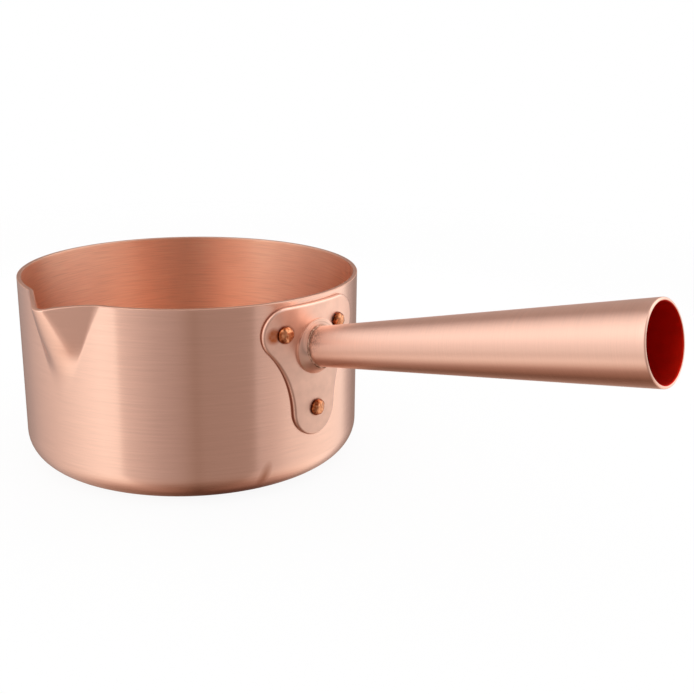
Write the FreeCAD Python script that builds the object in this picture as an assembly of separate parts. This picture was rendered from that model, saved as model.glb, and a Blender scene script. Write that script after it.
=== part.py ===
"""A copper pouring saucepan with a hollow copper handle.

Lengths are millimetres and angles are degrees. The origin is the centre of the underside,
+Z points up, +X points along the handle, and the pouring spout is on the -Y side.
"""
import FreeCAD, Part
import math
import os

from FreeCAD import Placement, Rotation, Vector

# Pan: one spun copper vessel
INNER_RADIUS = 80.0
WALL = 2.0
OUTER_RADIUS = INNER_RADIUS + WALL
PAN_HEIGHT = 90.0
CORNER_RADIUS = 14.0
RIM_ROUNDING = 0.5

# Spout: two flat facets pressed outwards, with a ridge between them that is rounder lower down
SPOUT_AZIMUTH = -86.0
FACET_TURN = 36.5
CREASE_TURN_TOP = 16.3  # angle at the rim from the ridge to where a facet meets the round wall
CREASE_TURN_LEAST = 2.5
CREASE_END_Z = 37.5  # the two creases run towards one point at this height
RIDGE_SLOPE = 0.36
RIDGE_END_Z = 55.5
RIDGE_TOE = 1.2
FOLLOW_TURN_LEAST = 6.0
FOLLOW_TURN_END = 120.0
CREASE_EASE = 0.06  # how far a crease is eased, as a share of the ridge's rise
ROUND_FROM = 0.6  # share of a facet taken by the ridge's bend where it starts to turn round
WALL_JOIN_Z = 42.0  # the wall is plain and round below this height
LIP_DIP_START = 78.0
LIP_DIP_RADIUS = 40.0

# Handle plate: a three-lobed strap bent to the wall
PLATE_THICKNESS = 2.0
PLATE_OUTER_RADIUS = OUTER_RADIUS + PLATE_THICKNESS
UPPER_LOBE_RADIUS = 12.0
UPPER_LOBE_SPREAD = 17.2
UPPER_LOBE_Z = 75.4
LOWER_LOBE_RADIUS = 13.3
LOWER_LOBE_Z = 38.0
FLANK_RADIUS = 48.0
PLATE_EDGE_ROUNDING = 1.2

# Rivets: the right-hand one of the upper pair is set closer to the handle
LEFT_RIVET_AZIMUTH = -12.3
RIGHT_RIVET_AZIMUTH = 10.3
SHANK_RADIUS = 2.5
HEAD_RADIUS = 3.9
HEAD_HEIGHT = 2.9
INNER_HEAD_RADIUS = 5.5
INNER_HEAD_HEIGHT = 1.6

# Handle: collar and tapered tube on one rising axis
HANDLE_RISE = 12.0
HANDLE_ROOT = Vector(OUTER_RADIUS, 0, 66.3)
TUBE_START = 5.0
TUBE_END = 167.0
TUBE_NECK_RADIUS = 9.15
TUBE_MOUTH_RADIUS = 16.05
TUBE_WALL = 1.4
COLLAR_RADIUS = 12.6
COLLAR_Z = 67.1
COLLAR_STEP = 0.6
SHOULDER_RADIUS = 9.7
SPIGOT_LENGTH = 12.0
SPIGOT_GAP = 0.05
BRAZE_HEIGHT = 0.9

PAN_AXIS = Vector(0, 0, 1)
REACH_PAST = 60.0  # how far cutting tools stand past what they cut


def cylinder(radius, height, low_z=0.0):
    return Part.makeCylinder(radius, height, Vector(0, 0, low_z), PAN_AXIS)


def revolved(edges):
    """A solid of revolution about Z from edges that close a profile in the XZ plane."""
    return Part.Face(Part.Wire(edges)).revolve(Vector(0, 0, 0), PAN_AXIS, 360)


def segment(start, end):
    return Part.makeLine(Vector(*start), Vector(*end))


def arc(start, middle, end):
    return Part.Arc(Vector(*start), Vector(*middle), Vector(*end)).toShape()


def chain(points):
    return [segment(a, b) for a, b in zip(points, points[1:])]


def placed(shape, position, rotation):
    """A copy of a shape that was made at the origin, turned and then moved."""
    copy = shape.copy()
    copy.Placement = Placement(position, rotation)
    return copy


def on_handle_axis(shape):
    """Puts a shape that was made about Z onto the handle's axis."""
    return placed(shape, HANDLE_ROOT, Rotation(Vector(0, 1, 0), 90 - HANDLE_RISE))


# ---- pan body -----------------------------------------------------------------------------


def crease_turn(z):
    """Angle from the ridge to either crease, where a facet meets the round wall."""
    turn = CREASE_TURN_TOP * (z - CREASE_END_Z) / (PAN_HEIGHT - CREASE_END_Z)
    return max(turn, CREASE_TURN_LEAST)


def ridge_toe(z):
    """A straight rise with height that is eased in at its foot."""
    straight = RIDGE_SLOPE * (z - RIDGE_END_Z)
    return (straight + math.hypot(straight, RIDGE_TOE)) / 2


def ridge_rise(z):
    """How far the ridge stands out of the round wall."""
    return ridge_toe(max(z, WALL_JOIN_Z)) - ridge_toe(WALL_JOIN_Z)


def swell(across, tip):
    """Height of a rounded bump over its foot, which it goes below past its edge at 1."""
    dome = math.cos(math.pi / 2 * min(across, 1)) ** 2
    return tip * (1 - across * across + dome) / 2


def pressed_rise(aside, z):
    """Height of the spout's skin over the round wall, which goes below it past the crease."""
    crease = crease_turn(z)
    tip = ridge_rise(z)
    bump = swell(aside / crease, tip)
    fold = OUTER_RADIUS * math.cos(math.radians(FACET_TURN - crease))
    bend = 2 * (FACET_TURN - math.degrees(math.acos(fold / (OUTER_RADIUS + tip))))
    if bend >= crease:
        return bump
    if aside < bend:
        aside = (aside * aside / bend + bend) / 2
    facet = fold / math.cos(math.radians(FACET_TURN - aside)) - OUTER_RADIUS
    roundness = max(bend / crease - ROUND_FROM, 0) / (1 - ROUND_FROM)
    return facet + (bump - facet) * roundness


def spout_rise(azimuth, z):
    """How far the spout stands out of the round wall at a place on it."""
    aside = abs((azimuth - SPOUT_AZIMUTH + 180) % 360 - 180)
    ease = CREASE_EASE * ridge_rise(z)
    if aside >= FACET_TURN or ease <= 0:
        return 0.0
    rise = pressed_rise(aside, z)
    if rise >= ease:
        return rise
    if rise <= -ease:
        return 0.0
    return (rise + ease) ** 2 / (4 * ease)


def wall_radius(azimuth, z, inset):
    """Radius of the wall at a place, measured inset deep into the sheet."""
    step = 0.1
    radius = OUTER_RADIUS + spout_rise(azimuth, z)
    turn = spout_rise(azimuth + step, z) - spout_rise(azimuth - step, z)
    climb = spout_rise(azimuth, z + step) - spout_rise(azimuth, z - step)
    turn /= 2 * math.radians(step) * radius
    climb /= 2 * step
    return radius - inset * math.sqrt(1 + turn * turn + climb * climb)


def section_turns():
    """Angles from the ridge, at the rim, of the points round a section of the wall.

    They are close together at the creases and wide apart on the round part of the wall.
    """
    inside = 20
    outside = 16
    spread = FACET_TURN - CREASE_TURN_TOP
    turns = [CREASE_TURN_TOP * (1 - (1 - k / inside) ** 1.3) for k in range(inside + 1)]
    turns += [CREASE_TURN_TOP + spread * (k / outside) ** 1.6 for k in range(1, outside + 1)]
    coarse_count = 48
    coarse_step = (360 - 2 * FACET_TURN) / coarse_count
    coarse = [FACET_TURN + coarse_step * k for k in range(1, coarse_count)]
    return [-turn for turn in turns[:0:-1]] + turns + coarse


def follow_crease(turn, z):
    """A section point's angle from the ridge at a height, so that points follow the creases."""
    if turn > 180:
        turn -= 360
    aside = abs(turn)
    crease = max(crease_turn(z), FOLLOW_TURN_LEAST)
    if aside >= FOLLOW_TURN_END:
        return turn
    if aside <= CREASE_TURN_TOP:
        return turn * crease / CREASE_TURN_TOP
    part = (aside - CREASE_TURN_TOP) / (FOLLOW_TURN_END - CREASE_TURN_TOP)
    return math.copysign(crease + (FOLLOW_TURN_END - crease) * part, turn)


def wall_section(z, inset):
    """The closed outline of the wall at one height."""
    turns = section_turns()
    points = []
    for turn in turns:
        azimuth = SPOUT_AZIMUTH + follow_crease(turn, z)
        radius = wall_radius(azimuth, z, inset)
        angle = math.radians(azimuth)
        points.append(Vector(radius * math.cos(angle), radius * math.sin(angle), z))
    knots = [turn - turns[0] for turn in turns] + [360.0]
    curve = Part.BSplineCurve()
    curve.interpolate(Points=points, PeriodicFlag=True, Parameters=knots)
    return Part.Wire(curve.toShape())


def upper_wall(inset):
    """The solid that the wall's surface bounds, from below the spout to above the rim."""
    spacing = 3.0
    count = int((PAN_HEIGHT - WALL_JOIN_Z) / spacing) + 3
    heights = [WALL_JOIN_Z + spacing * k for k in range(count)]
    return Part.makeLoft([wall_section(z, inset) for z in heights], True, False)


def lower_wall(inset):
    """The round part below the spout, with the rounded bottom corner."""
    radius = OUTER_RADIUS - inset
    corner = CORNER_RADIUS - inset
    top = WALL_JOIN_Z
    bend = corner * math.sqrt(0.5)
    middle = (radius - corner + bend, 0, CORNER_RADIUS - bend)
    edges = [
        segment((0, 0, inset), (radius - corner, 0, inset)),
        arc((radius - corner, 0, inset), middle, (radius, 0, CORNER_RADIUS)),
        segment((radius, 0, CORNER_RADIUS), (radius, 0, top)),
        segment((radius, 0, top), (0, 0, top)),
        segment((0, 0, top), (0, 0, inset)),
    ]
    return revolved(edges)


def above_rim():
    """Everything above the rim line, which dips in an arc towards the spout's lip."""
    clearance = 5.0
    tip = OUTER_RADIUS + ridge_rise(PAN_HEIGHT) + clearance
    half = math.asin((tip - LIP_DIP_START) / LIP_DIP_RADIUS) / 2
    centre_z = PAN_HEIGHT - LIP_DIP_RADIUS
    middle_x = LIP_DIP_START + LIP_DIP_RADIUS * math.sin(half)
    middle_z = centre_z + LIP_DIP_RADIUS * math.cos(half)
    tip_z = centre_z + LIP_DIP_RADIUS * math.cos(2 * half)
    far = -(OUTER_RADIUS + REACH_PAST)
    top = PAN_HEIGHT + REACH_PAST
    edges = [
        segment((far, far, PAN_HEIGHT), (LIP_DIP_START, far, PAN_HEIGHT)),
        arc((LIP_DIP_START, far, PAN_HEIGHT), (middle_x, far, middle_z), (tip, far, tip_z)),
    ]
    edges += chain([(tip, far, tip_z), (tip, far, top), (far, far, top), (far, far, PAN_HEIGHT)])
    block = Part.Face(Part.Wire(edges)).extrude(Vector(0, -2 * far, 0))
    block.rotate(Vector(0, 0, 0), PAN_AXIS, SPOUT_AZIMUTH)
    return block


def rim_edges(shape):
    """The two edge loops of the rim, without the short seams between its faces."""
    lowest = PAN_HEIGHT - LIP_DIP_RADIUS * 0.1
    found = []
    for edge in shape.Edges:
        box = edge.BoundBox
        if box.ZMin > lowest and edge.Length > 2 * WALL:
            found.append(edge)
    return found


def sheet(wall):
    """The copper between the outer and the inner surface of a part of the wall."""
    return wall(0).cut(wall(WALL))


def pan_body():
    shell = sheet(lower_wall).fuse([sheet(upper_wall)], 0.001).cut(above_rim())
    shell = shell.makeFillet(RIM_ROUNDING, rim_edges(shell))
    for shank in rivet_shanks():
        shell = shell.cut(shank)
    return shell


# ---- handle plate -------------------------------------------------------------------------


def flank_centre(upper, lower, side):
    """Centre of the hollow flank arc that touches both lobes on one side of the plate."""
    to_upper = FLANK_RADIUS + UPPER_LOBE_RADIUS
    to_lower = FLANK_RADIUS + LOWER_LOBE_RADIUS
    line = lower - upper
    span = line.Length
    along = (to_upper**2 - to_lower**2 + span**2) / (2 * span)
    aside = math.sqrt(to_upper**2 - along**2)
    line.normalize()
    outward = Vector(0, -line.z, line.y) * side
    return upper + line * along + outward * aside


def toward(centre, other, radius):
    direction = other - centre
    direction.normalize()
    return centre + direction * radius


def plate_outline():
    """The plate's outline as seen along the handle, in the YZ plane."""
    lower = Vector(0, 0, LOWER_LOBE_Z)
    bottom = lower - PAN_AXIS * LOWER_LOBE_RADIUS
    rise = PAN_AXIS * UPPER_LOBE_RADIUS
    edges = []
    tops = []
    touches = []
    for side in (-1, 1):
        upper = Vector(0, side * UPPER_LOBE_SPREAD, UPPER_LOBE_Z)
        flank = flank_centre(upper, lower, side)
        high_touch = toward(flank, upper, FLANK_RADIUS)
        low_touch = toward(flank, lower, FLANK_RADIUS)
        middle = toward(flank, (high_touch + low_touch) * 0.5, FLANK_RADIUS)
        outermost = upper + Vector(0, side * UPPER_LOBE_RADIUS, 0)
        edges.append(arc(upper + rise, outermost, high_touch))
        edges.append(arc(high_touch, middle, low_touch))
        tops.append(upper + rise)
        touches.append(low_touch)
    edges.append(arc(touches[0], bottom, touches[1]))
    edges.append(segment(*tops))
    return Part.Wire(Part.sortEdges(edges)[0])


def plate_skin():
    """The plate's outer face: its outline wrapped onto a cylinder whose seam is at the back."""
    round_bar = cylinder(PLATE_OUTER_RADIUS, PAN_HEIGHT)
    round_bar.rotate(Vector(0, 0, 0), PAN_AXIS, 180)
    (side,) = [face for face in round_bar.Faces if isinstance(face.Surface, Part.Cylinder)]
    prism = Part.Face(plate_outline()).extrude(Vector(PLATE_OUTER_RADIUS + REACH_PAST, 0, 0))
    (skin,) = side.common(prism).Faces
    return skin


def handle_plate():
    tolerance = 0.001
    plate = plate_skin().makeOffsetShape(-PLATE_THICKNESS, tolerance, fill=True)
    outer_edges = []
    for edge in plate.Edges:
        places = [edge.valueAt(p) for p in edge.ParameterRange]
        if all(math.hypot(p.x, p.y) > PLATE_OUTER_RADIUS - 0.01 for p in places):
            outer_edges.append(edge)
    plate = plate.makeFillet(PLATE_EDGE_ROUNDING, outer_edges)
    for shank in rivet_shanks():
        plate = plate.cut(shank)
    return plate


# ---- rivets -------------------------------------------------------------------------------


def rivet_places():
    """Azimuth and height of each rivet, by name."""
    return {
        "rivet_upper_left": (LEFT_RIVET_AZIMUTH, UPPER_LOBE_Z),
        "rivet_upper_right": (RIGHT_RIVET_AZIMUTH, UPPER_LOBE_Z),
        "rivet_lower": (0.0, LOWER_LOBE_Z),
    }


def through_wall(shape, place):
    """Puts a shape that was made about Z with its axis pointing out of the wall at a rivet."""
    azimuth, z = place
    outward = Rotation(PAN_AXIS, azimuth).multiply(Rotation(Vector(0, 1, 0), 90))
    return placed(shape, Vector(0, 0, z), outward)


def rivet_shanks():
    inner = INNER_RADIUS - INNER_HEAD_HEIGHT
    length = PLATE_OUTER_RADIUS + HEAD_HEIGHT / 2 - inner
    shank = cylinder(SHANK_RADIUS, length, inner)
    return [through_wall(shank, place) for place in rivet_places().values()]


def domed_head():
    """Outer head: a short straight side under a crown that is part of a ball."""
    foot = PLATE_OUTER_RADIUS - 1.0
    side = PLATE_OUTER_RADIUS + 0.5
    crown = PLATE_OUTER_RADIUS + HEAD_HEIGHT
    ball = (HEAD_RADIUS**2 + (crown - side) ** 2) / (2 * (crown - side))
    half = math.asin(HEAD_RADIUS / ball) / 2
    middle = (ball * math.sin(half), 0, crown - ball + ball * math.cos(half))
    edges = chain([(0, 0, crown), (0, 0, foot), (HEAD_RADIUS, 0, foot), (HEAD_RADIUS, 0, side)])
    edges.append(arc((HEAD_RADIUS, 0, side), middle, (0, 0, crown)))
    return revolved(edges)


def flat_head():
    """Inner head: a flat disc with a bevelled rim."""
    face = INNER_RADIUS - INNER_HEAD_HEIGHT
    bevel = 0.6
    edges = chain(
        [
            (0, 0, face),
            (INNER_HEAD_RADIUS - bevel, 0, face),
            (INNER_HEAD_RADIUS, 0, face + bevel),
            (INNER_HEAD_RADIUS, 0, INNER_RADIUS + 1.0),
            (0, 0, INNER_RADIUS + 1.0),
            (0, 0, face),
        ]
    )
    return revolved(edges)


def rivet(place, shank):
    head = through_wall(domed_head(), place).cut(cylinder(PLATE_OUTER_RADIUS, PAN_HEIGHT))
    inner_head = through_wall(flat_head(), place).common(cylinder(INNER_RADIUS, PAN_HEIGHT))
    return head.fuse(shank).fuse(inner_head).removeSplitter()


# ---- handle -------------------------------------------------------------------------------


def tube_radius(along):
    part = (along - TUBE_START) / (TUBE_END - TUBE_START)
    return TUBE_NECK_RADIUS + (TUBE_MOUTH_RADIUS - TUBE_NECK_RADIUS) * part


def handle_tube():
    lip = TUBE_WALL / 2
    lip_start = TUBE_END - lip
    outer = tube_radius(lip_start)
    inner = outer - TUBE_WALL
    neck_inner = TUBE_NECK_RADIUS - TUBE_WALL
    edges = chain(
        [
            (inner, 0, lip_start),
            (neck_inner, 0, TUBE_START),
            (TUBE_NECK_RADIUS, 0, TUBE_START),
            (outer, 0, lip_start),
        ]
    )
    edges.append(arc((outer, 0, lip_start), (outer - lip, 0, TUBE_END), (inner, 0, lip_start)))
    return on_handle_axis(revolved(edges))


def collar_spigot():
    """The tapered plug that the tube slides over."""
    end = TUBE_START + SPIGOT_LENGTH
    bore = TUBE_WALL + SPIGOT_GAP
    radii = [tube_radius(TUBE_START) - bore, tube_radius(end) - bore]
    points = [(0, 0, 0), (radii[0], 0, 0), (radii[0], 0, TUBE_START), (radii[1], 0, end)]
    points += [(0, 0, end), (0, 0, 0)]
    return on_handle_axis(revolved(chain(points)))


def handle_collar():
    """A round foot on the plate that narrows to a shoulder square to the handle."""
    foot_x = PLATE_OUTER_RADIUS + COLLAR_STEP
    outward = Vector(1, 0, 0)
    foot_centre = Vector(foot_x, 0, COLLAR_Z)
    deep = 3.0
    foot = Part.makeCylinder(COLLAR_RADIUS, deep, foot_centre - outward * deep, outward)
    foot_circle = Part.makeCircle(COLLAR_RADIUS, foot_centre, outward)
    lean = math.radians(HANDLE_RISE)
    axis = Vector(math.cos(lean), 0, math.sin(lean))
    shoulder_centre = HANDLE_ROOT + axis * TUBE_START
    shoulder_circle = Part.makeCircle(SHOULDER_RADIUS, shoulder_centre, axis)
    flare = Part.makeLoft([Part.Wire(foot_circle), Part.Wire(shoulder_circle)], True, True)
    collar = foot.fuse(flare).fuse(collar_spigot())
    collar = collar.cut(cylinder(PLATE_OUTER_RADIUS, PAN_HEIGHT))
    return collar.removeSplitter()


def neck_braze():
    """The ring of filler metal in the corner between the tube's end and the shoulder."""
    top = TUBE_START + BRAZE_HEIGHT
    points = [
        (tube_radius(TUBE_START), 0, TUBE_START),
        (SHOULDER_RADIUS, 0, TUBE_START),
        (tube_radius(top), 0, top),
        (tube_radius(TUBE_START), 0, TUBE_START),
    ]
    return on_handle_axis(revolved(chain(points)))


# ---- all parts ----------------------------------------------------------------------------


def all_parts():
    parts = {
        "pan_body": pan_body(),
        "handle_plate": handle_plate(),
        "handle_collar": handle_collar(),
        "handle_tube": handle_tube(),
        "neck_braze": neck_braze(),
    }
    for (name, place), shank in zip(rivet_places().items(), rivet_shanks()):
        parts[name] = rivet(place, shank)
    return parts


os.makedirs("parts", exist_ok=True)
for part_name, part_shape in all_parts().items():
    (solid,) = part_shape.Solids
    solid.exportStep("parts/" + part_name + ".step")
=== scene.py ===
"""The looks of a copper pouring saucepan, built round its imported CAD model.

Lengths are metres (MM turns millimetres into metres) and angles are degrees. The frame is the
CAD model's: origin at the centre of the underside, +Z up, +X along the handle, spout towards -Y.
"""
import math

import bmesh
import bpy
import numpy as np
from mathutils import Matrix, Quaternion, Vector, noise


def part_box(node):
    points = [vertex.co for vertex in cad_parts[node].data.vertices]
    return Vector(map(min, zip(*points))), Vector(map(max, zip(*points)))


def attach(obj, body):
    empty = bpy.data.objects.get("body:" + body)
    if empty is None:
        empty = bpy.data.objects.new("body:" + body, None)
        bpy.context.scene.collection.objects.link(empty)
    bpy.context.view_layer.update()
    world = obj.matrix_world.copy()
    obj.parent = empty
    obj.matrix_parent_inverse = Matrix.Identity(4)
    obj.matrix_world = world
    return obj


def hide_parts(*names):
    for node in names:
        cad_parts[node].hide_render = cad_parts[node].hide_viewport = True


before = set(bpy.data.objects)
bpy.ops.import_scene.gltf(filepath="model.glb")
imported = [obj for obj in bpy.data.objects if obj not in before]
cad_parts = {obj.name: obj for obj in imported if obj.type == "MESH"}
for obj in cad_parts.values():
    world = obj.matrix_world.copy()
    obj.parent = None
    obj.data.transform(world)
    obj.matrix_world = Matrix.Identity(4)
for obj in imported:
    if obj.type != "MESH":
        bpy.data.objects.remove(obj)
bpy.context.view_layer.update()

MM = 0.001
UP = Vector((0, 0, 1))

# Pan
OUTER_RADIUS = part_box("pan_body")[1].x
PAN_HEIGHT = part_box("pan_body")[1].z
WALL = 2 * MM
CORNER_RADIUS = 14 * MM
RIM_ROUNDING = 0.5 * MM

# Spout
SPOUT_AZIMUTH = -86.0
FACET_TURN = 36.5
CREASE_TURN_TOP = 16.3  # angle at the rim from the ridge to where a facet meets the round wall
CREASE_TURN_LEAST = 2.5
CREASE_END_Z = 37.5 * MM
RIDGE_SLOPE = 0.36
RIDGE_END_Z = 55.5 * MM
RIDGE_TOE = 1.2 * MM
FOLLOW_TURN_LEAST = 4.0
FOLLOW_TURN_END = 60.0
CREASE_EASE = 0.06  # how far a crease is eased, as a share of the ridge's rise
ROUND_FROM = 0.6  # share of a facet taken by the ridge's bend where it starts to turn round
WALL_JOIN_Z = 42 * MM  # the wall is plain and round below this height
LIP_DIP_START = 78 * MM
LIP_DIP_RADIUS = 40 * MM

# Rivets: where each one is, as azimuth and height
PLATE_OUTER_RADIUS = OUTER_RADIUS + 2 * MM
RIVET_PLACES = {
    "rivet_upper_left": (-12.3, 75.4 * MM),
    "rivet_upper_right": (10.3, 75.4 * MM),
    "rivet_lower": (0.0, 38 * MM),
}
# How far each head sits off its shank's axis: down, then round the pan away from the spout
HEAD_SHIFTS = {
    "rivet_upper_left": (-0.15 * MM, -0.7 * MM),
    "rivet_upper_right": (-0.4 * MM, 0),
    "rivet_lower": (0, 0),
}
SEED_STEP = 7.3  # far enough apart for each head to have its own hammer marks
SHANK_RADIUS = 2.5 * MM
HEAD_RADIUS = 3.9 * MM
HEAD_HEIGHT = 2.9 * MM
HEAD_SIDE = 0.5 * MM
INNER_HEAD_RADIUS = 5.5 * MM
INNER_HEAD_HEIGHT = 1.6 * MM

# Handle
HANDLE_RISE = 12.0
HANDLE_ROOT = Vector((OUTER_RADIUS, 0, 66.3 * MM))
HANDLE_AXIS = Vector((math.cos(math.radians(HANDLE_RISE)), 0, math.sin(math.radians(HANDLE_RISE))))
TUBE_START = 5 * MM
TUBE_END = 167 * MM
TUBE_NECK_RADIUS = 9.15 * MM
TUBE_MOUTH_RADIUS = 16.05 * MM
TUBE_WALL = 1.4 * MM
COLLAR_RADIUS = 12.6 * MM
COLLAR_Z = 67.1 * MM
SHOULDER_RADIUS = 9.7 * MM
BRAZE_HEIGHT = 0.9 * MM

# Camera
CAMERA_PLACE = Vector((0.3857, -0.3367, 0.2020))
VIEW_AZIMUTH = 40.165
VIEW_ELEVATION = 16.672
VIEW_ROLL = 0.867
LENS = 54.5


# ---- mesh helpers -------------------------------------------------------------------------


def new_piece(name, vertices, faces, node):
    """A smooth closed mesh that stands for a CAD node."""
    mesh = bpy.data.meshes.new(name)
    mesh.from_pydata([tuple(v) for v in vertices], [], faces)
    shape = bmesh.new()
    shape.from_mesh(mesh)
    bmesh.ops.recalc_face_normals(shape, faces=shape.faces)
    shape.to_mesh(mesh)
    shape.free()
    mesh.shade_smooth()
    piece = bpy.data.objects.new(name, mesh)
    bpy.context.scene.collection.objects.link(piece)
    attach(piece, "root")
    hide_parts(node)
    return piece


def grid_faces(row_count, column_count):
    """Quads of a grid whose last column joins its first, by (row, column)."""
    faces = {}
    for row in range(row_count - 1):
        for column in range(column_count):
            after = (column + 1) % column_count
            low = row * column_count
            high = low + column_count
            faces[row, column] = (low + column, low + after, high + after, high + column)
    return faces


def close_ends(vertices, faces, columns, rows, heights):
    """Closes the first and last row of a grid with a fan to a new point on the axis each."""
    first = len(vertices)
    vertices += [(0, 0, height) for height in heights]
    last = (rows - 1) * columns
    for column in range(columns):
        after = (column + 1) % columns
        faces.append((first, after, column))
        faces.append((first + 1, last + column, last + after))


def lathe(profile, columns):
    """Vertices and faces of a closed turned body about Z, from (radius, z) points.

    The first and last points are on the axis.
    """
    angles = np.radians(np.arange(columns) * 360 / columns)
    vertices = []
    for radius, z in profile[1:-1]:
        vertices += [(radius * math.cos(a), radius * math.sin(a), z) for a in angles]
    rows = len(profile) - 2
    faces = list(grid_faces(rows, columns).values())
    close_ends(vertices, faces, columns, rows, (profile[0][1], profile[-1][1]))
    return vertices, faces


def ring_lathe(profile, columns):
    """Vertices and faces of a turned ring about Z, from a closed loop of (radius, z) points."""
    angles = np.radians(np.arange(columns) * 360 / columns)
    vertices = []
    for radius, z in profile + profile[:1]:
        vertices += [(radius * math.cos(a), radius * math.sin(a), z) for a in angles]
    count = len(profile) * columns
    faces = []
    for face in grid_faces(len(profile) + 1, columns).values():
        faces.append(tuple(index % count for index in face))
    return vertices[:count], faces


def turned(vertices, matrix):
    return [matrix @ Vector(v) for v in vertices]


def round_point(radius, azimuth, z):
    """The point at a radius, azimuth and height round the pan's axis."""
    turn = math.radians(azimuth)
    return Vector((radius * math.cos(turn), radius * math.sin(turn), z))


def arc_points(centre, radius, start, end, steps):
    """Points of an arc in a (radius, z) profile, with angles from the outward direction."""
    points = []
    for angle in np.radians(np.linspace(start, end, steps + 1)):
        points.append((centre[0] + radius * math.cos(angle), centre[1] + radius * math.sin(angle)))
    return points


def between(start, end, steps):
    """Points from start to end of a (radius, z) profile, without either end."""
    parts = np.linspace(0, 1, steps + 1)[1:-1]
    return [tuple(np.array(start) + (np.array(end) - np.array(start)) * p) for p in parts]


# ---- pan ----------------------------------------------------------------------------------


def crease_turn(z):
    """Angle from the ridge to either crease, where a facet meets the round wall."""
    turn = CREASE_TURN_TOP * (z - CREASE_END_Z) / (PAN_HEIGHT - CREASE_END_Z)
    return np.maximum(turn, CREASE_TURN_LEAST)


def ridge_toe(z):
    """A straight rise with height that is eased in at its foot."""
    straight = RIDGE_SLOPE * (z - RIDGE_END_Z)
    return (straight + np.hypot(straight, RIDGE_TOE)) / 2


def ridge_rise(z):
    """How far the ridge stands out of the round wall."""
    return ridge_toe(np.maximum(z, WALL_JOIN_Z)) - ridge_toe(WALL_JOIN_Z)


def swell(across, tip):
    """Height of a rounded bump over its foot, which it goes below past its edge at 1."""
    dome = np.cos(math.pi / 2 * np.minimum(across, 1)) ** 2
    return tip * (1 - across * across + dome) / 2


def pressed_rise(aside, z):
    """Height of the spout's skin over the round wall, which goes below it past the crease."""
    crease = crease_turn(z)
    tip = ridge_rise(z)
    bump = swell(aside / crease, tip)
    fold = OUTER_RADIUS * np.cos(np.radians(FACET_TURN - crease))
    bend = 2 * (FACET_TURN - np.degrees(np.arccos(fold / (OUTER_RADIUS + tip))))
    bend = np.clip(bend, 0.01, crease)
    bent = np.where(aside < bend, (aside * aside / bend + bend) / 2, aside)
    facet = fold / np.cos(np.radians(FACET_TURN - bent)) - OUTER_RADIUS
    roundness = np.maximum(bend / crease - ROUND_FROM, 0) / (1 - ROUND_FROM)
    return facet + (bump - facet) * roundness


def spout_rise(azimuth, z):
    """How far the spout stands out of the round wall at places on it."""
    aside = np.abs((azimuth - SPOUT_AZIMUTH + 180) % 360 - 180)
    ease = CREASE_EASE * ridge_rise(z)
    rise = pressed_rise(np.minimum(aside, FACET_TURN), z)
    eased = (rise + ease) ** 2 / (4 * np.maximum(ease, 1e-9))
    rise = np.where(rise >= ease, rise, np.where(rise <= -ease, 0, eased))
    return np.where((aside >= FACET_TURN) | (ease <= 0), 0, rise)


def wall_radius(azimuth, z, inset):
    """Radius of the wall at places on it, measured inset deep into the sheet."""
    turn_step = 0.1
    climb_step = 0.1 * MM
    radius = OUTER_RADIUS + spout_rise(azimuth, z)
    turn = spout_rise(azimuth + turn_step, z) - spout_rise(azimuth - turn_step, z)
    climb = spout_rise(azimuth, z + climb_step) - spout_rise(azimuth, z - climb_step)
    turn = turn / (2 * math.radians(turn_step) * radius)
    climb = climb / (2 * climb_step)
    return radius - inset * np.sqrt(1 + turn * turn + climb * climb)


def rim_height(azimuth, inset):
    """Height of the rim's edge, which dips in an arc towards the spout's lip."""
    height = np.full_like(azimuth, PAN_HEIGHT)
    for _ in range(4):
        across = np.cos(np.radians(azimuth - SPOUT_AZIMUTH))
        along = wall_radius(azimuth, height, inset) * across
        past = np.clip(along - LIP_DIP_START, 0, LIP_DIP_RADIUS)
        height = PAN_HEIGHT - LIP_DIP_RADIUS + np.sqrt(LIP_DIP_RADIUS**2 - past**2)
    return height


def column_turns():
    """Angles from the ridge, at the rim, of the pan's columns, closest together on the spout."""
    crease_columns = 50
    spout_columns = 62
    fine = CREASE_TURN_TOP / crease_columns * np.arange(-spout_columns, spout_columns + 1)
    coarse = np.arange(fine[-1] + 1, 360 + fine[0], 1.0)
    return np.concatenate([fine, coarse])


def azimuths_at(turns, z):
    """The columns' azimuths at a height, where those across the spout follow its creases."""
    turn = (turns + 180) % 360 - 180
    crease = max(crease_turn(z), FOLLOW_TURN_LEAST)
    at_rim = (0, CREASE_TURN_TOP, FOLLOW_TURN_END, 180)
    here = (0, crease, FOLLOW_TURN_END, 180)
    return SPOUT_AZIMUTH + np.copysign(np.interp(np.abs(turn), at_rim, here), turn)


def flat_row(azimuths, radius, z):
    """A round row of (radius, z, azimuth) points."""
    return np.stack([np.full_like(azimuths, radius), np.full_like(azimuths, z), azimuths], 1)


def wall_row(azimuths, z, inset):
    """A row of (radius, z, azimuth) points on one skin of the wall."""
    return np.stack([wall_radius(azimuths, z, inset), z, azimuths], 1)


def wall_rows(turns, inset, rows):
    """Rows from the bottom corner up to just under the rounded rim."""
    top = rim_height(azimuths_at(turns, PAN_HEIGHT), inset) - RIM_ROUNDING
    made = []
    for part in np.linspace(0, 1, rows):
        level = CORNER_RADIUS + (PAN_HEIGHT - CORNER_RADIUS) * part
        z = CORNER_RADIUS + (top - CORNER_RADIUS) * part
        made.append(wall_row(azimuths_at(turns, level), z, inset))
    return made


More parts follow.
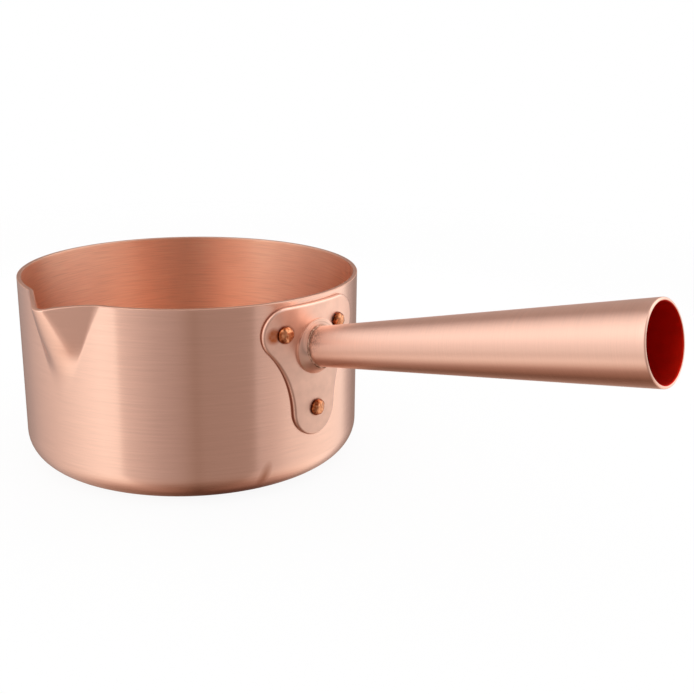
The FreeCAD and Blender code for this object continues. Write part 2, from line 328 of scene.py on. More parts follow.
def rim_rows(azimuths):
    """Rows over the rim: a rounded edge, the narrow flat top and the other rounded edge."""
    edges = []
    downs = []
    for inset in (0, WALL):
        top = rim_height(azimuths, inset)
        edge = wall_row(azimuths, top, inset)
        edges.append(edge)
        downs.append(wall_row(azimuths, top - RIM_ROUNDING, inset) - edge)
    across = edges[1] - edges[0]
    across *= RIM_ROUNDING / np.linalg.norm(across, axis=1)[:, None]
    steps = 4
    outer = []
    inner = []
    for k in range(1, steps + 1):
        angle = math.pi / 2 * k / steps
        sink = 1 - math.sin(angle)
        slide = 1 - math.cos(angle)
        outer.append(edges[0] + downs[0] * sink + across * slide)
        inner.append(edges[1] + downs[1] * sink - across * slide)
    middle = [(outer[-1] + inner[-1]) / 2]
    return outer + middle + inner[::-1]


def pan_rows(turns, wall_count):
    """Every row of the pan's skin, from under the base, over the rim, to the inside floor.

    Also gives the first row of the outer wall and the last row of the inner one.
    """
    flat = OUTER_RADIUS - CORNER_RADIUS
    inner_corner = CORNER_RADIUS - WALL
    flats = [flat * part for part in (0.1, 0.25, 0.4, 0.55, 0.7, 0.85)]
    under = [(radius, 0.0) for radius in flats]
    under += arc_points((flat, CORNER_RADIUS), CORNER_RADIUS, -90, 0, 14)[:-1]
    floor = arc_points((flat, CORNER_RADIUS), inner_corner, 0, -90, 14)[1:]
    floor += [(radius, WALL) for radius in flats[::-1]]
    low = azimuths_at(turns, 0)
    rows = [flat_row(low, *point) for point in under]
    outer_start = len(rows)
    rows += wall_rows(turns, 0, wall_count)
    rows += rim_rows(azimuths_at(turns, PAN_HEIGHT))
    rows += wall_rows(turns, WALL, wall_count)[::-1]
    inner_end = len(rows) - 1
    rows += [flat_row(low, *point) for point in floor]
    return rows, outer_start, inner_end


def hole_window(azimuths, heights, place):
    """First and last column and row of the patch of quads that a rivet hole replaces."""
    reach = SHANK_RADIUS * 1.7
    azimuth, z = place
    aside = (azimuths - azimuth + 180) % 360 - 180
    columns = np.nonzero(np.abs(np.radians(aside)) * OUTER_RADIUS < reach)[0]
    rows = np.nonzero(np.abs(heights - z) < reach)[0]
    return columns.min(), columns.max(), rows.min(), rows.max()


def window_loop(first_column, last_column, first_row, last_row):
    """(row, column) pairs once round a patch's border."""
    columns = range(first_column, last_column)
    rows = range(first_row, last_row)
    loop = [(first_row, c) for c in columns]
    loop += [(r, last_column) for r in rows]
    loop += [(last_row, c + 1) for c in reversed(columns)]
    loop += [(r + 1, first_column) for r in reversed(rows)]
    return loop


def hole_point(vertex, place, radius):
    """The point of a hole's edge on a skin of the wall that faces a vertex beside the hole."""
    azimuth, z = place
    x, y, height = vertex
    aside = math.atan2(y, x) - math.radians(azimuth)
    angle = math.atan2(height - z, aside * radius)
    sideways = SHANK_RADIUS * math.cos(angle)
    turn = math.radians(azimuth) + math.asin(sideways / radius)
    rise = z + SHANK_RADIUS * math.sin(angle)
    return radius * math.cos(turn), radius * math.sin(turn), rise


def add_band(faces, key, first, second):
    """Adds the quads between two closed loops of as many vertices."""
    for k in range(len(first)):
        after = (k + 1) % len(first)
        faces[(*key, k)] = (first[k], first[after], second[after], second[k])


def cut_hole(vertices, faces, azimuths, place, outer_start, inner_end, wall_count):
    """Opens a round hole through both skins of the wall, and lines it."""
    count = len(azimuths)
    heights = np.array([vertices[(outer_start + r) * count][2] for r in range(wall_count)])
    window = hole_window(azimuths, heights, place)
    first_column, last_column, first_row, last_row = window
    rings = []
    for inward, radius in ((False, OUTER_RADIUS), (True, OUTER_RADIUS - WALL)):
        border = []
        ring = []
        for row, column in window_loop(*window):
            grid_row = inner_end - row if inward else outer_start + row
            border.append(grid_row * count + column)
            ring.append(len(vertices))
            vertices.append(hole_point(vertices[border[-1]], place, radius))
        for row in range(first_row, last_row):
            grid_row = inner_end - row - 1 if inward else outer_start + row
            for column in range(first_column, last_column):
                del faces[grid_row, column]
        add_band(faces, (place, inward), border, ring)
        rings.append(ring)
    add_band(faces, (place, "lining"), *rings)


def pan_shell():
    turns = column_turns()
    azimuths = azimuths_at(turns, PAN_HEIGHT)
    wall_count = 78
    rows, outer_start, inner_end = pan_rows(turns, wall_count)
    vertices = []
    for row in rows:
        radius, z, azimuth = row.T
        angles = np.radians(azimuth)
        points = zip(radius * np.cos(angles), radius * np.sin(angles), z)
        vertices += [tuple(float(value) for value in point) for point in points]
    count = len(azimuths)
    faces = grid_faces(len(rows), count)
    for place in RIVET_PLACES.values():
        cut_hole(vertices, faces, azimuths, place, outer_start, inner_end, wall_count)
    faces = list(faces.values())
    close_ends(vertices, faces, count, len(rows), (0, WALL))
    return new_piece("pan_shell", vertices, faces, "pan_body")


# ---- rivets -------------------------------------------------------------------------------


def rivet_profile():
    """(radius, height) points of a hammered rivet, from its inner head to its crown."""
    inner_face = OUTER_RADIUS - WALL - INNER_HEAD_HEIGHT
    inner_wall = OUTER_RADIUS - WALL
    crown = PLATE_OUTER_RADIUS + HEAD_HEIGHT
    seat = PLATE_OUTER_RADIUS - 0.1 * MM
    bevel = 0.6 * MM
    points = [(0, inner_face), (INNER_HEAD_RADIUS / 2, inner_face)]
    points += arc_points((INNER_HEAD_RADIUS - bevel, inner_face + bevel), bevel, -90, 0, 4)
    points += [(INNER_HEAD_RADIUS, inner_wall), (SHANK_RADIUS, inner_wall)]
    points += [(SHANK_RADIUS, seat), (HEAD_RADIUS, seat)]
    side = PLATE_OUTER_RADIUS + HEAD_SIDE
    steps = 18
    for k in range(steps + 1):
        angle = math.pi / 2 * k / steps
        points.append((HEAD_RADIUS * math.cos(angle), side + (crown - side) * math.sin(angle)))
    return points


def hammered(point, seed, shift):
    """A head's point moved by its shift and by hammer marks; the rest stays as it is."""
    if point.z < PLATE_OUTER_RADIUS + HEAD_SIDE / 2:
        return point
    lift = (point.z - PLATE_OUTER_RADIUS) / HEAD_HEIGHT
    dent = noise.noise(point / (2.2 * MM) + Vector((seed, 0, 0)))
    pit = noise.noise(point / (0.8 * MM) + Vector((0, seed, 0)))
    outward = Vector((point.x, point.y, 0)) / HEAD_RADIUS
    move = (0.45 * dent + 0.1 * pit) * MM
    return point + (UP * lift + outward * 0.5) * move + Vector((*shift, 0))


def rivet(name, place, seed, shift):
    azimuth, z = place
    vertices, faces = lathe(rivet_profile(), 48)
    vertices = [hammered(Vector(v), seed, shift) for v in vertices]
    outward = Matrix.Rotation(math.radians(azimuth), 4, "Z") @ Matrix.Rotation(math.pi / 2, 4, "Y")
    vertices = turned(vertices, Matrix.Translation((0, 0, z)) @ outward)
    return new_piece(name + "_hammered", vertices, faces, name)


# ---- handle -------------------------------------------------------------------------------


def on_handle_axis():
    lean = Matrix.Rotation(math.radians(90 - HANDLE_RISE), 4, "Y")
    return Matrix.Translation(HANDLE_ROOT) @ lean


def tube_radius(along):
    part = (along - TUBE_START) / (TUBE_END - TUBE_START)
    return TUBE_NECK_RADIUS + (TUBE_MOUTH_RADIUS - TUBE_NECK_RADIUS) * part


def handle_tube():
    lip = TUBE_WALL / 2
    lip_start = TUBE_END - lip
    outer = tube_radius(lip_start)
    neck = (TUBE_NECK_RADIUS, TUBE_START)
    bore_neck = (TUBE_NECK_RADIUS - TUBE_WALL, TUBE_START)
    profile = [neck] + between(neck, (outer, lip_start), 60)
    profile += arc_points((outer - lip, lip_start), lip, 0, 180, 12)
    profile += between((outer - TUBE_WALL, lip_start), bore_neck, 60) + [bore_neck]
    vertices, faces = ring_lathe(profile, 128)
    vertices = turned(vertices, on_handle_axis())
    return new_piece("handle_tube_brushed", vertices, faces, "handle_tube")


def neck_braze():
    """A lumpy ring of filler metal in the corner between the tube and the shoulder."""
    wide = SHOULDER_RADIUS - TUBE_NECK_RADIUS
    outer = arc_points((TUBE_NECK_RADIUS, TUBE_START), 1.0, 0, 90, 6)
    profile = []
    for x, z in outer:
        across = x - TUBE_NECK_RADIUS
        up = z - TUBE_START
        profile.append((TUBE_NECK_RADIUS + across * wide, TUBE_START + up * BRAZE_HEIGHT))
    profile.append((TUBE_NECK_RADIUS, TUBE_START))
    vertices, faces = ring_lathe(profile, 96)
    lumpy = []
    for v in vertices:
        point = Vector(v)
        outward = Vector((point.x, point.y, 0)).normalized()
        away = Vector((point.x, point.y, 0)).length - TUBE_NECK_RADIUS
        bump = noise.noise(point / (1.6 * MM))
        lumpy.append(point + outward * away * 0.6 * bump)
    vertices = turned(lumpy, on_handle_axis())
    return new_piece("neck_braze_bead", vertices, faces, "neck_braze")


# ---- shader helpers -----------------------------------------------------------------------


NOISE_SPAN = (0.3, 0.7)  # where nearly all of a noise texture's values are


class Graph:
    """Adds shader nodes to one tree. An input is a plain value or another node's output."""

    def __init__(self, tree):
        self.tree = tree
        tree.nodes.clear()

    def add(self, kind, inputs=None, **settings):
        made = self.tree.nodes.new("ShaderNode" + kind)
        for name, value in settings.items():
            setattr(made, name, value)
        for name, value in (inputs or {}).items():
            if isinstance(value, bpy.types.NodeSocket):
                self.tree.links.new(value, made.inputs[name])
            else:
                made.inputs[name].default_value = value
        return made

    def math(self, operation, *values):
        return self.add("Math", dict(enumerate(values)), operation=operation).outputs[0]

    def vector(self, operation, *values):
        made = self.add("VectorMath", dict(enumerate(values)), operation=operation)
        single = operation in ("DOT_PRODUCT", "LENGTH", "DISTANCE")
        return made.outputs["Value" if single else "Vector"]

    def scaled(self, vector, factor):
        made = self.add("VectorMath", {0: vector, "Scale": factor}, operation="SCALE")
        return made.outputs["Vector"]

    def noise(self, vector, scale=1.0, detail=2.0):
        inputs = {"Vector": vector, "Scale": scale, "Detail": detail}
        return self.add("TexNoise", inputs).outputs[0]

    def spread(self, value, low, high, to_low=0.0, to_high=1.0):
        """The value's range from low to high stretched to another range, and held at its ends."""
        inputs = {0: value, 1: low, 2: high, 3: to_low, 4: to_high}
        return self.add("MapRange", inputs, clamp=True).outputs[0]

    def ramp(self, value, stops):
        """A ramp through (place, brightness or colour) stops."""
        made = self.add("ValToRGB", {0: value})
        elements = made.color_ramp.elements
        elements.remove(elements[1])
        for index, (place, colour) in enumerate(stops):
            element = elements[0] if index == 0 else elements.new(place)
            element.position = place
            colour = colour if isinstance(colour, tuple) else (colour,) * 3
            element.color = (*colour, 1)
        return made.outputs[0]

    def blend(self, factor, first, second):
        """Two colours mixed."""
        settings = {"data_type": "RGBA", "blend_type": "MIX"}
        inputs = {0: factor}
        for place, colour in ((6, first), (7, second)):
            inputs[place] = (*colour, 1) if isinstance(colour, tuple) else colour
        return self.add("Mix", inputs, **settings).outputs[2]


def new_material(name):
    material = bpy.data.materials.new(name)
    material.use_nodes = True
    return material, Graph(material.node_tree)


def brush_frame(graph, axis_point, axis, flat_radius):
    """The direction round an axis, the unit vector away from it, and a height up its profile.

    Inside flat_radius the height grows with the radius, so that brush lines on a flat end are
    rings, and outside it only with the distance along the axis.
    """
    place = graph.add("TexCoord").outputs["Object"]
    relative = graph.vector("SUBTRACT", place, tuple(axis_point))
    along = graph.vector("DOT_PRODUCT", relative, tuple(axis))
    radial = graph.vector("SUBTRACT", relative, graph.scaled(tuple(axis), along))
    radius = graph.vector("LENGTH", radial)
    outward = graph.vector("NORMALIZE", radial)
    around = graph.vector("CROSS_PRODUCT", tuple(axis), outward)
    profile = graph.math("ADD", along, graph.math("MINIMUM", radius, flat_radius))
    return around, outward, profile


def brush_lines(graph, axis, outward, profile, pitch, length, detail=2.0):
    """Noise drawn out round an axis: pitch is a line's width, length its share of a radian."""
    stretched = graph.scaled(outward, 1 / length)
    raised = graph.scaled(tuple(axis), graph.math("DIVIDE", profile, pitch))
    return graph.noise(graph.vector("ADD", stretched, raised), detail=detail)


def brushed_copper(name, axis_point, axis, look):
    """Copper brushed round an axis: long fine lines that smear reflections across them.

    The look's marks and painted shade, if it has any, are a function that adds them to the colour.
    """
    material, graph = new_material(name)
    unlimited = 1.0  # wider than any piece, so that the height grows with the radius everywhere
    flat_radius = look.get("flat_radius", unlimited)
    around, outward, profile = brush_frame(graph, axis_point, axis, flat_radius)
    fine = brush_lines(
        graph, axis, outward, profile, look["line_pitch"], look["line_length"], look["line_detail"]
    )
    shade = graph.spread(fine, *NOISE_SPAN, 1 - look["contrast"], 1 + look["contrast"])
    colour = graph.vector("MULTIPLY", look["colour"], graph.scaled((1, 1, 1), shade))
    # adds real marks, and painted shade where a look has it
    if "marks_and_shade" in look:
        colour = look["marks_and_shade"](graph, graph.add("NewGeometry").outputs["Position"], colour)
    roughness = graph.math("MULTIPLY_ADD", fine, look["roughness_spread"], look["roughness"])
    normal = graph.add("NewGeometry").outputs["Normal"]
    across = graph.vector("CROSS_PRODUCT", normal, around)
    bump = graph.add("Bump", {"Strength": 1.0, "Distance": look["line_depth"], "Height": fine})
    surface = graph.add(
        "BsdfPrincipled",
        {
            "Base Color": colour,
            "Metallic": 1.0,
            "Roughness": roughness,
            "Anisotropic": look["anisotropy"],
            "Tangent": across,
            "Normal": bump.outputs[0],
        },
    )
    graph.add("OutputMaterial", {0: surface.outputs[0]})
    return material


def satin_metal(graph, place, colour, look, height=None):
    """A satin metal surface: slightly mottled, with fine random scratches."""
    mottle = graph.noise(place, 1 / look["mottle_size"], 3.0)
    shade = graph.spread(mottle, *NOISE_SPAN, 1 - look["mottle"], 1 + look["mottle"])
    tint = graph.vector("MULTIPLY", colour, graph.scaled((1, 1, 1), shade))
    grain = graph.noise(place, 1 / look["grain_size"], 2.0)
    height = graph.math("ADD", grain, height) if height else grain
    roughness = graph.math("MULTIPLY_ADD", mottle, 0.08, look["roughness"] - 0.04)
    bump = graph.add("Bump", {"Strength": 1.0, "Distance": look["grain_depth"], "Height": height})
    inputs = {"Base Color": tint, "Metallic": 1.0, "Roughness": roughness, "Normal": bump.outputs[0]}
    surface = graph.add("BsdfPrincipled", inputs)
    graph.add("OutputMaterial", {0: surface.outputs[0]})


def near(graph, place, centre, inside, outside):
    """1 within the inside distance of a point, falling to 0 at the outside distance."""
    away = graph.vector("DISTANCE", place, tuple(centre))
    return graph.spread(away, inside, outside, 1, 0)


def smear(graph, place, start, end, width):
    """1 at the middle of a line between two points, falling to 0 past its ends and sides."""
    axis = (end - start).normalized()
    squash = 1 - 2 * width / (end - start).length
    relative = graph.vector("SUBTRACT", place, tuple((start + end) / 2))
    along = graph.math("MULTIPLY", graph.vector("DOT_PRODUCT", relative, tuple(axis)), squash)
    away = graph.vector("LENGTH", graph.vector("SUBTRACT", relative, graph.scaled(tuple(axis), along)))
    return graph.spread(away, 0, width, 1, 0)


def lift_off(graph, place, radius):
    """How far a place is outside a radius round the pan's axis."""
    parts = graph.add("SeparateXYZ", {0: place}).outputs
    flat = graph.add("CombineXYZ", {0: parts[0], 1: parts[1], 2: 0.0}).outputs[0]
    return graph.math("SUBTRACT", graph.vector("LENGTH", flat), radius)


# ---- materials ----------------------------------------------------------------------------

COPPER = (0.97, 0.61, 0.48)
PAN_FLAT_RADIUS = 66 * MM  # inside this the pan's brush lines are rings
# The painted shade on the foot is darkest at one place, and a painted dark reflection runs up from
# there as a brown streak across the corner
FOOT_CENTRE = round_point(76 * MM, -28, 2 * MM)
STREAK_ENDS = (round_point(79 * MM, -21.5, 3 * MM), round_point(83 * MM, -17.3, 18 * MM))
STREAK_WIDTH = 3.2 * MM
NECK_STAIN = Vector((0, -0.8, 0.6))  # side of the neck where the brazing has stained the tube
HEAT_TURN = -4.3  # from the upper left rivet to the spot that heat has turned orange
HEAT_RISE = 0.3 * MM


def foot_shade_and_streak(graph, place, colour):
    """Paints shade on the pan's foot, where the floor's contact shadow would be reflected, and paints
    a dark reflection as a brown streak across the corner.
    """
    height = graph.add("SeparateXYZ", {0: place}).outputs[2]
    low = graph.spread(height, 2.5 * MM, 9 * MM, 1, 0)
    reach = near(graph, place, FOOT_CENTRE, 8 * MM, 42 * MM)
    # Painted shade: the dark reflection of the floor's contact shadow on the foot
    foot_shade_brown = (0.24, 0.055, 0.02)
    reflection_brown = (0.40, 0.14, 0.06)
    colour = graph.blend(graph.math("MULTIPLY", low, reach), colour, foot_shade_brown)
    # Painted reflection: a dark brown streak across the corner
    dark_reflection = smear(graph, place, *STREAK_ENDS, STREAK_WIDTH)
    return graph.blend(graph.math("MULTIPLY", dark_reflection, 0.8), colour, reflection_brown)


def outer_pan_copper():
    look = {
        "colour": COPPER,
        "flat_radius": PAN_FLAT_RADIUS,
        "line_pitch": 0.45 * MM,
        "line_length": 0.25,
        "line_detail": 2.0,
        "contrast": 0.03,
        "line_depth": 0.005 * MM,
        "roughness": 0.18,
        "roughness_spread": 0.05,
        "anisotropy": 1.0,
        # the foot gets painted shade and a painted dark reflection
        "marks_and_shade": foot_shade_and_streak,
    }
    return brushed_copper("outer_pan_copper", Vector((0, 0, 0)), UP, look)


def inner_pan_copper():
    look = {
        "colour": (0.98, 0.58, 0.41),
        "flat_radius": PAN_FLAT_RADIUS,
        "line_pitch": 0.5 * MM,
        "line_length": 0.2,
        "line_detail": 4.0,
        "contrast": 0.10,
        "line_depth": 0.02 * MM,
        "roughness": 0.33,
        "roughness_spread": 0.1,
        "anisotropy": 0.95,
    }
    return brushed_copper("inner_pan_copper", Vector((0, 0, 0)), UP, look)


def rim_copper():
    """The narrow rim, darker and duller than the wall."""
    material, graph = new_material("rim_copper")
    look = {
        "mottle_size": 6 * MM,
        "mottle": 0.06,
        "grain_size": 0.4 * MM,
        "grain_depth": 0.006 * MM,
        "roughness": 0.42,
    }
    satin_metal(graph, graph.add("TexCoord").outputs["Object"], (0.78, 0.46, 0.34), look)
    return material


def neck_marks(graph, place, colour):
    """Speckles the tube beside the brazing."""
    centre = HANDLE_ROOT + HANDLE_AXIS * TUBE_START + NECK_STAIN * TUBE_NECK_RADIUS
    blotch = graph.spread(graph.noise(place, 1 / (0.8 * MM), 2.0), 0.35, 0.65, 0.0, 0.8)
    reach = near(graph, place, centre, 1.5 * MM, 8 * MM)
    stain = (0.38, 0.23, 0.17)
    return graph.blend(graph.math("MULTIPLY", reach, blotch), colour, stain)


def handle_copper():
    look = {
        "colour": COPPER,
        "line_pitch": 0.6 * MM,
        "line_length": 1.0,
        "line_detail": 3.0,
        "contrast": 0.03,
        "line_depth": 0.005 * MM,
        "roughness": 0.3,
        "roughness_spread": 0.06,
        "anisotropy": 0.9,
        "marks_and_shade": neck_marks,
    }
    return brushed_copper("handle_copper", HANDLE_ROOT, HANDLE_AXIS, look)


def plate_copper():
    """Satin copper, with painted shade: darker low down where the collar's shadow falls, and dark in
    the gap where it meets the wall.

    Each rivet has a thin dark ring of painted shade in the crevice round its head, and one has orange
    heat colour beside it.
    """
    material, graph = new_material("plate_copper")
    place = graph.add("TexCoord").outputs["Object"]
    height = graph.add("SeparateXYZ", {0: place}).outputs[2]
    # Painted shadow: the plate darker low down, where the collar's shadow falls
    collar_shadowed = graph.scaled(COPPER, graph.spread(height, 58 * MM, 80 * MM, 0.82, 1.0))
    # Painted shade: dark in the gap where the plate meets the wall
    seam_shade = graph.spread(lift_off(graph, place, OUTER_RADIUS), 0.4 * MM, 1.0 * MM, 0.85, 0)
    seam_shade_brown = (0.30, 0.09, 0.05)
    crevice_shade_brown = (0.50, 0.20, 0.10)
    heat_orange = (0.52, 0.13, 0.035)
    colour = graph.blend(seam_shade, collar_shadowed, seam_shade_brown)
    for azimuth, z in RIVET_PLACES.values():
        centre = round_point(PLATE_OUTER_RADIUS, azimuth, z)
        # Painted shade: a thin dark ring in the crevice round each rivet's head
        ring = near(graph, place, centre, HEAD_RADIUS, HEAD_RADIUS + 0.8 * MM)
        colour = graph.blend(graph.math("MULTIPLY", ring, 0.55), colour, crevice_shade_brown)
    azimuth, z = RIVET_PLACES["rivet_upper_left"]
    centre = round_point(PLATE_OUTER_RADIUS, azimuth + HEAT_TURN, z + HEAT_RISE)
    heat = near(graph, place, centre, 2.2 * MM, 4.4 * MM)
    wander = graph.spread(graph.noise(place, 1 / (1.5 * MM), 2.0), *NOISE_SPAN, 0.75, 1.0)
    colour = graph.blend(graph.math("MULTIPLY", heat, wander), colour, heat_orange)
    look = {
        "mottle_size": 6 * MM,
        "mottle": 0.07,
        "grain_size": 0.5 * MM,
        "grain_depth": 0.004 * MM,
        "roughness": 0.36,
    }
    satin_metal(graph, place, colour, look)
    return material


def collar_copper():
    """Copper turned on a lathe: fine rings round the collar's foot and flare."""
    material, graph = new_material("collar_copper")
    outward_x = Vector((1, 0, 0))
    centre = Vector((PLATE_OUTER_RADIUS, 0, COLLAR_Z))
    _, outward, profile = brush_frame(graph, centre, outward_x, COLLAR_RADIUS)
    rings = brush_lines(graph, outward_x, outward, profile, 0.55 * MM, 1.5, 1.0)
    place = graph.add("TexCoord").outputs["Object"]
    shade = graph.spread(rings, *NOISE_SPAN, 0.72, 1.10)
    colour = graph.vector("MULTIPLY", (0.96, 0.62, 0.49), graph.scaled((1, 1, 1), shade))
    look = {
        "mottle_size": 5 * MM,
        "mottle": 0.03,
        "grain_size": 0.4 * MM,
        "grain_depth": 0.01 * MM,
        "roughness": 0.40,
    }
    satin_metal(graph, place, colour, look, rings)
    return material


def rivet_copper():
    """Hammered copper, dark towards the foot of each head: oxide blotches and painted crevice shade.
    """
    material, graph = new_material("rivet_copper")
    place = graph.add("TexCoord").outputs["Object"]
    height = graph.spread(lift_off(graph, place, PLATE_OUTER_RADIUS), 0, HEAD_HEIGHT)
    blotch = graph.spread(graph.noise(place, 1 / (1.1 * MM), 3.0), *NOISE_SPAN, -0.3, 0.3)
    # Painted shade: darker towards the foot of each head, where it meets the plate; the blotches are
    # oxide
    oxide_and_crevice_shade = graph.math("ADD", height, blotch)
    stops = [(0.0, (0.07, 0.013, 0.004)), (0.46, (0.36, 0.085, 0.024)), (1.0, (0.82, 0.36, 0.18))]
    colour = graph.ramp(oxide_and_crevice_shade, stops)
    look = {
        "mottle_size": 1.5 * MM,
        "mottle": 0.08,
        "grain_size": 0.5 * MM,
        "grain_depth": 0.03 * MM,
        "roughness": 0.22,
    }
    satin_metal(graph, place, colour, look)
    return material


def braze_metal():
    """Dull grey-brown filler, lumpy and stained."""
    material, graph = new_material("braze_metal")
    place = graph.add("TexCoord").outputs["Object"]
    blotch = graph.noise(place, 1 / (1.6 * MM), 3.0)
    colour = graph.ramp(blotch, [(0.38, (0.34, 0.19, 0.13)), (0.62, (0.76, 0.48, 0.36))])
    look = {
        "mottle_size": 3 * MM,
        "mottle": 0.05,
        "grain_size": 0.5 * MM,
        "grain_depth": 0.02 * MM,
        "roughness": 0.5,
    }
    satin_metal(graph, place, colour, look)
    return material


def bore_copper():
    """The tube's unpolished bore, deep red with oxide."""
    material, graph = new_material("bore_copper")
    place = graph.add("TexCoord").outputs["Object"]
    look = {
        "mottle_size": 6 * MM,
        "mottle": 0.08,
        "grain_size": 0.6 * MM,
        "grain_depth": 0.01 * MM,
        "roughness": 0.6,
    }
    satin_metal(graph, place, (0.74, 0.018, 0.006), look)
    return material


def dress(piece, *materials):
    piece.data.materials.clear()
    for material in materials:
        piece.data.materials.append(material)


# ---- studio -------------------------------------------------------------------------------

# Brightness of the studio's walls by azimuth: two large lit panels left and right of the
# camera, and a grey back.
STUDIO_WALLS = (
    (-180, 0.62),
    (-173, 0.73),
    (-160, 0.86),
    (-145, 0.98),
    (-133, 1.10),
    (-118, 1.26),
    (-104, 1.37),
    (-90, 1.28),
    (-82, 1.15),
    (-66, 0.88),
    (-50, 0.72),
    (-40, 0.58),
    (-35, 0.63),
    (-1, 0.67),
    (1, 0.67),
    (15, 0.83),
    (28, 1.04),
    (43, 1.19),
    (60, 1.32),
    (82, 1.36),
    (92, 0.74),
    (108, 0.42),
    (124, 0.47),
    (144, 0.43),
    (157, 0.43),
    (172, 0.56),
    (180, 0.62),
)
# The gap between the panels in front is this much dimmer than they are, with sharp edges.
STUDIO_FRONT = (-91.0, 0.0)
FRONT_LEVEL = 0.72
FRONT_EDGE = 1.2
# How much of the brightness is left at each elevation, and its colour there.
STUDIO_FALL = (
    (-90, 0.30),
    (-62, 0.37),
    (-52, 0.63),
    (-38, 0.88),
    (-28, 0.75),
    (-22, 0.695),
    (-14, 0.79),
    (5, 0.90),
    (15, 1.0),
    (35, 1.12),
    (55, 1.16),
    (90, 1.05),
)
STUDIO_WARMTH = (
    (-90, (1, 0.70, 0.56)),
    (-58, (1, 0.79, 0.68)),
    (-48, (1, 0.92, 0.84)),
    (-36, (1, 0.96, 0.92)),
    (-20, (1, 1, 0.97)),
    (0, (1, 1, 1)),
)
DIM_WARMTH = ((0.15, (1, 0.74, 0.62)), (0.30, (1, 0.89, 0.88)), (0.72, (1, 1, 1)))
BRIGHTEST = 1.5
# High up the panels differ more from the gaps: the power that sets their contrast about a middle
# level, and the elevations between which it comes in.
MIDDLE_LEVEL = 0.85
HIGH_BAND = (0.0, 30.0)
HIGH_CONTRAST = 1.42
EVEN_LIGHT = 1.15  # strength of the plain white light that falls on matt surfaces
SHADOW_SHARE = 0.08  # how much of the floor's own shading shows, the rest being plain white
FLOOR_FADE = (0.35, 0.8)  # distances from the centre between which the floor fades away


def studio_light(graph, direction):
    """Colour of the studio seen in a direction."""
    parts = graph.add("SeparateXYZ", {0: direction}).outputs
    azimuth = graph.math("DEGREES", graph.math("ARCTAN2", parts[1], parts[0]))
    elevation = graph.math("DEGREES", graph.math("ARCSINE", parts[2]))
    turn = graph.spread(azimuth, -180, 180)
    climb = graph.spread(elevation, -90, 90)
    walls = graph.ramp(turn, [((a + 180) / 360, b / BRIGHTEST) for a, b in STUDIO_WALLS])
    fall = graph.ramp(climb, [((e + 90) / 180, b) for e, b in STUDIO_FALL])
    warmth = graph.ramp(climb, [((e + 90) / 180, c) for e, c in STUDIO_WARMTH])
    left, right = STUDIO_FRONT
    past_left = graph.spread(azimuth, left - FRONT_EDGE, left + FRONT_EDGE)
    before_right = graph.spread(azimuth, right - FRONT_EDGE, right + FRONT_EDGE, 1, 0)
    front = graph.math("MULTIPLY", past_left, before_right)
    dimmed = graph.math("MULTIPLY_ADD", front, FRONT_LEVEL - 1, 1.0)
    middle = MIDDLE_LEVEL / BRIGHTEST
    power = graph.spread(elevation, *HIGH_BAND, 1.0, HIGH_CONTRAST)
    against = graph.math("DIVIDE", graph.math("MULTIPLY", walls, dimmed), middle)
    panels = graph.math("MULTIPLY", graph.math("POWER", against, power), middle)
    level = graph.math("MULTIPLY", panels, fall)
    tint = graph.vector("MULTIPLY", graph.ramp(level, DIM_WARMTH), warmth)
    return graph.vector("MULTIPLY", tint, graph.scaled((BRIGHTEST,) * 3, level))


def studio_world():
    """White for the camera, even light for the floor, and a lit studio for reflections."""
    world = bpy.data.worlds.new("studio")
    world.use_nodes = True
    bpy.context.scene.world = world
    graph = Graph(world.node_tree)
    lit = studio_light(graph, graph.add("TexCoord").outputs["Generated"])
    rays = graph.add("LightPath").outputs
    shown = graph.add("Background", {0: (1, 1, 1, 1), 1: 1.0}).outputs[0]
    even = graph.add("Background", {0: (1, 1, 1, 1), 1: EVEN_LIGHT}).outputs[0]
    reflected = graph.add("Background", {0: lit, 1: 1.0}).outputs[0]
    soft = graph.add("MixShader", {0: rays["Is Diffuse Ray"], 1: reflected, 2: even})
    seen = graph.add("MixShader", {0: rays["Is Camera Ray"], 1: soft.outputs[0], 2: shown})
    graph.add("OutputWorld", {0: seen.outputs[0]})


def floor():
    """A pale floor with a faint contact shadow, which fades into the white background."""
    size = 1.2
    mesh = bpy.data.meshes.new("floor")
    corners = [(-size, -size), (size, -size), (size, size), (-size, size)]
    gap = -0.05 * MM
    mesh.from_pydata([(x, y, gap) for x, y in corners], [], [(0, 1, 2, 3)])
    sheet = bpy.data.objects.new("floor", mesh)
    bpy.context.scene.collection.objects.link(sheet)
    sheet.visible_glossy = False
    material, graph = new_material("floor")
    place = graph.add("TexCoord").outputs["Object"]
    grain = graph.noise(place, 300.0)
    shade = graph.spread(grain, *NOISE_SPAN, 0.89, 0.91)
    matt = graph.add("BsdfDiffuse", {0: graph.scaled((1, 1, 1), shade)})
    glow = graph.add("Emission", {0: (1, 1, 1, 1), 1: 1.0})
    body = graph.add("MixShader", {0: SHADOW_SHARE, 1: glow.outputs[0], 2: matt.outputs[0]})
    clear = graph.add("BsdfTransparent")
    away = graph.vector("LENGTH", place)
    fade = graph.spread(away, *FLOOR_FADE)
    mixed = graph.add("MixShader", {0: fade, 1: body.outputs[0], 2: clear.outputs[0]})
    graph.add("OutputMaterial", {0: mixed.outputs[0]})
    dress(sheet, material)


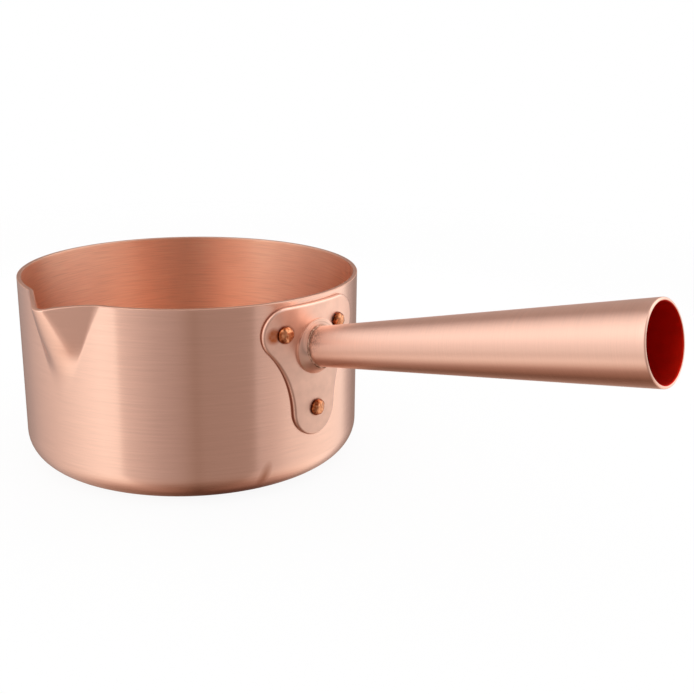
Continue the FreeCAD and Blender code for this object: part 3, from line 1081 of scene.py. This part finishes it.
def camera():
    data = bpy.data.cameras.new("camera")
    data.lens = LENS
    eye = bpy.data.objects.new("camera", data)
    bpy.context.scene.collection.objects.link(eye)
    azimuth = math.radians(VIEW_AZIMUTH)
    elevation = math.radians(VIEW_ELEVATION)
    flat = math.cos(elevation)
    forward = Vector((-math.sin(azimuth) * flat, math.cos(azimuth) * flat, -math.sin(elevation)))
    level = forward.to_track_quat("-Z", "Y")
    eye.location = CAMERA_PLACE
    eye.rotation_mode = "QUATERNION"
    eye.rotation_quaternion = level @ Quaternion((0, 0, 1), math.radians(VIEW_ROLL))
    data.clip_start = 0.01
    bpy.context.scene.camera = eye


# ---- assembly -----------------------------------------------------------------------------


def pan_faces(shell):
    """Gives the pan's inside and its rim their own material slots."""
    polygons = shell.data.polygons
    centres = np.empty(3 * len(polygons))
    polygons.foreach_get("center", centres)
    x, y, z = centres.reshape(-1, 3).T
    radius = np.hypot(x, y)
    azimuth = np.degrees(np.arctan2(y, x))
    in_wall = (radius < wall_radius(azimuth, z, WALL / 2)) & (z > WALL / 2)
    flat = OUTER_RADIUS - CORNER_RADIUS
    corner = np.hypot(np.maximum(radius - flat, 0), CORNER_RADIUS - z)
    in_corner = corner < CORNER_RADIUS - WALL / 2
    slots = np.where(z < CORNER_RADIUS, in_corner, in_wall).astype(np.int32)
    slots[z > rim_height(azimuth, WALL / 2) - RIM_ROUNDING] = 2
    polygons.foreach_set("material_index", slots)


def bore_faces(tube):
    """Gives the tube's bore its own material slot."""
    for face in tube.data.polygons:
        relative = face.center - HANDLE_ROOT
        along = relative.dot(HANDLE_AXIS)
        radius = (relative - HANDLE_AXIS * along).length
        inside = radius < tube_radius(along) - TUBE_WALL * 0.75
        face.material_index = 1 if inside else 0


def build():
    shell = pan_shell()
    dress(shell, outer_pan_copper(), inner_pan_copper(), rim_copper())
    pan_faces(shell)
    tube = handle_tube()
    dress(tube, handle_copper(), bore_copper())
    bore_faces(tube)
    rivet_metal = rivet_copper()
    for index, (name, place) in enumerate(RIVET_PLACES.items()):
        dress(rivet(name, place, SEED_STEP * index, HEAD_SHIFTS[name]), rivet_metal)
    dress(neck_braze(), braze_metal())
    dress(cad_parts["handle_plate"], plate_copper())
    dress(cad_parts["handle_collar"], collar_copper())


build()
studio_world()
floor()
camera()
bpy.context.scene.view_settings.view_transform = "Standard"
